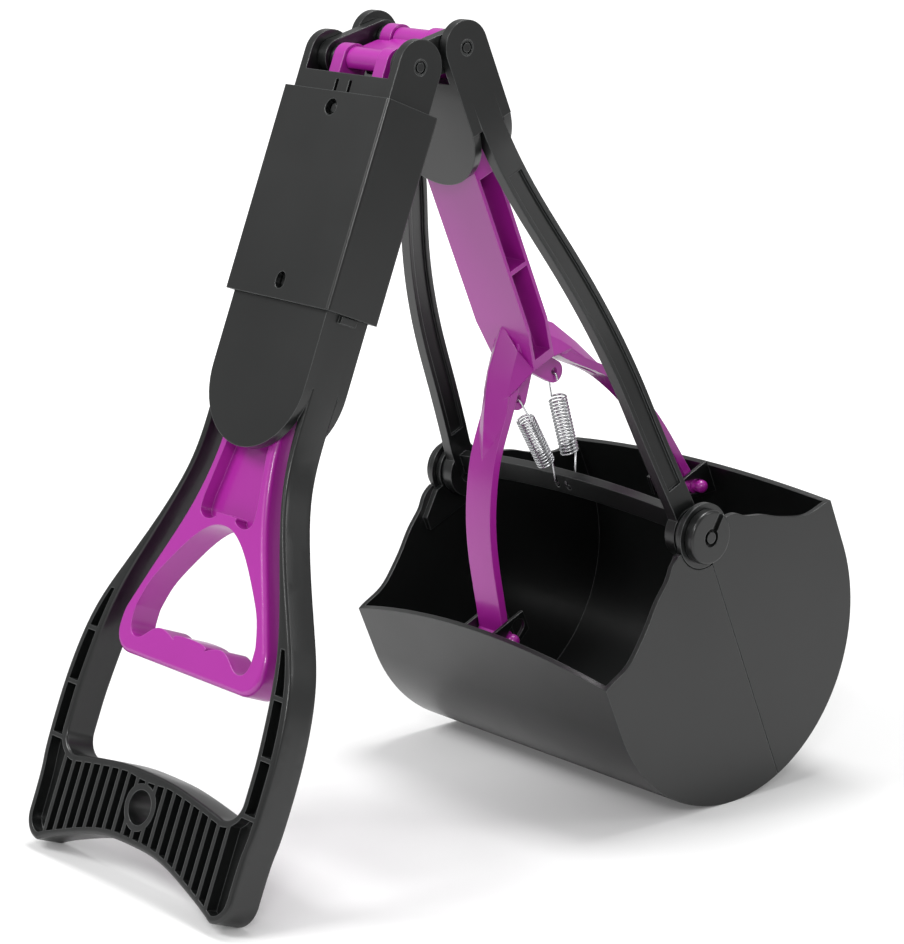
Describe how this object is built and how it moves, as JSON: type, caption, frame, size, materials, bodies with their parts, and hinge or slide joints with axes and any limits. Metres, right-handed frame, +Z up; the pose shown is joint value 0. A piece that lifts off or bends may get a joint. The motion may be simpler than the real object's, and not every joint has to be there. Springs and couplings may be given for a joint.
{
  "type": "folding litter scoop",
  "caption": "Folding long-handled clamshell litter scoop: a D-grip trigger pulls a rod that opens two bin jaws, and a sleeve locks the straightened hinge.",
  "frame": {"origin": "on the floor under the middle of the folded, standing scoop's bounding box", "axes": "+Z up; +Y along the hinge and jaw pivots, to the left as seen from the grip's face; +X from the grip towards the bin"},
  "size_m": [0.2897, 0.1444, 0.2886],
  "materials": {
    "black_plastic": "satin moulded polypropylene",
    "purple_plastic": "glossy moulded plastic",
    "spring_steel": "bright zinc-plated spring wire"
  },
  "bodies": {
    "handle": {"handle_frame": "black_plastic", "handle_hinge_pin_left": "black_plastic", "handle_hinge_pin_right": "black_plastic"},
    "sleeve": {"lock_sleeve": "black_plastic"},
    "trigger": {"trigger": "purple_plastic", "chain_pin_lower": "purple_plastic"},
    "links": {"fold_link_left": "black_plastic", "fold_link_right": "black_plastic"},
    "head": {"jaw_fork": "black_plastic", "head_hinge_pin_left": "black_plastic", "head_hinge_pin_right": "black_plastic", "pivot_washer_left": "black_plastic", "pivot_washer_right": "black_plastic", "pivot_button_left": "black_plastic", "pivot_button_right": "black_plastic"},
    "pull_bar": {"pull_bar": "purple_plastic", "chain_pin_upper": "purple_plastic", "return_spring_front": "spring_steel", "return_spring_back": "spring_steel"},
    "chain_link": {"chain_link": "purple_plastic"},
    "front_jaw": {"front_jaw": "black_plastic"},
    "back_jaw": {"back_jaw": "black_plastic"}
  },
  "joints": [
    {"name": "sleeve_slide", "type": "slide", "parent": "handle", "child": "sleeve", "axis": [0.3514, 0, 0.9362], "range_m": [0, 0.011]},
    {"name": "trigger_slide", "type": "slide", "parent": "handle", "child": "trigger", "axis": [-0.3514, 0, -0.9362], "range_m": [0, 0.03], "stiffness_N_per_m": 250, "springref_m": -0.012},
    {"name": "link_fold", "type": "hinge", "parent": "handle", "child": "links", "pos_m": [-0.03722, 0, 0.27335], "axis": [0, 1, 0], "range_deg": [-53.9, 10]},
    {"name": "head_fold", "type": "hinge", "parent": "links", "child": "head", "pos_m": [-0.0166, 0, 0.27907], "axis": [0, 1, 0], "range_deg": [-81, 15]},
    {"name": "pull_bar_slide", "type": "slide", "parent": "head", "child": "pull_bar", "axis": [-0.4151, 0, 0.9098], "range_m": [0, 0.03], "deforming": ["return_spring_front", "return_spring_back"]},
    {"name": "chain_link_pivot", "type": "hinge", "parent": "pull_bar", "child": "chain_link", "pos_m": [-0.0166, 0, 0.27907], "axis": [0, 1, 0], "range_deg": [-15, 81]},
    {"name": "front_jaw_pivot", "type": "hinge", "parent": "head", "child": "front_jaw", "pos_m": [0.06285, 0, 0.10494], "axis": [0, 1, 0], "range_deg": [0, 29.5]},
    {"name": "back_jaw_pivot", "type": "hinge", "parent": "head", "child": "back_jaw", "pos_m": [0.06285, 0, 0.10494], "axis": [0, 1, 0], "range_deg": [-29.5, 0]}
  ],
  "couplings": [
    {"joint": "link_fold", "follows": "head_fold", "ratio": 0.6654},
    {"joint": "chain_link_pivot", "follows": "head_fold", "ratio": -1},
    {"joint": "pull_bar_slide", "follows": "trigger_slide", "ratio": 1},
    {"joint": "front_jaw_pivot", "follows": "trigger_slide", "rad_per_m": 17.16},
    {"joint": "back_jaw_pivot", "follows": "trigger_slide", "rad_per_m": -17.16}
  ]
}
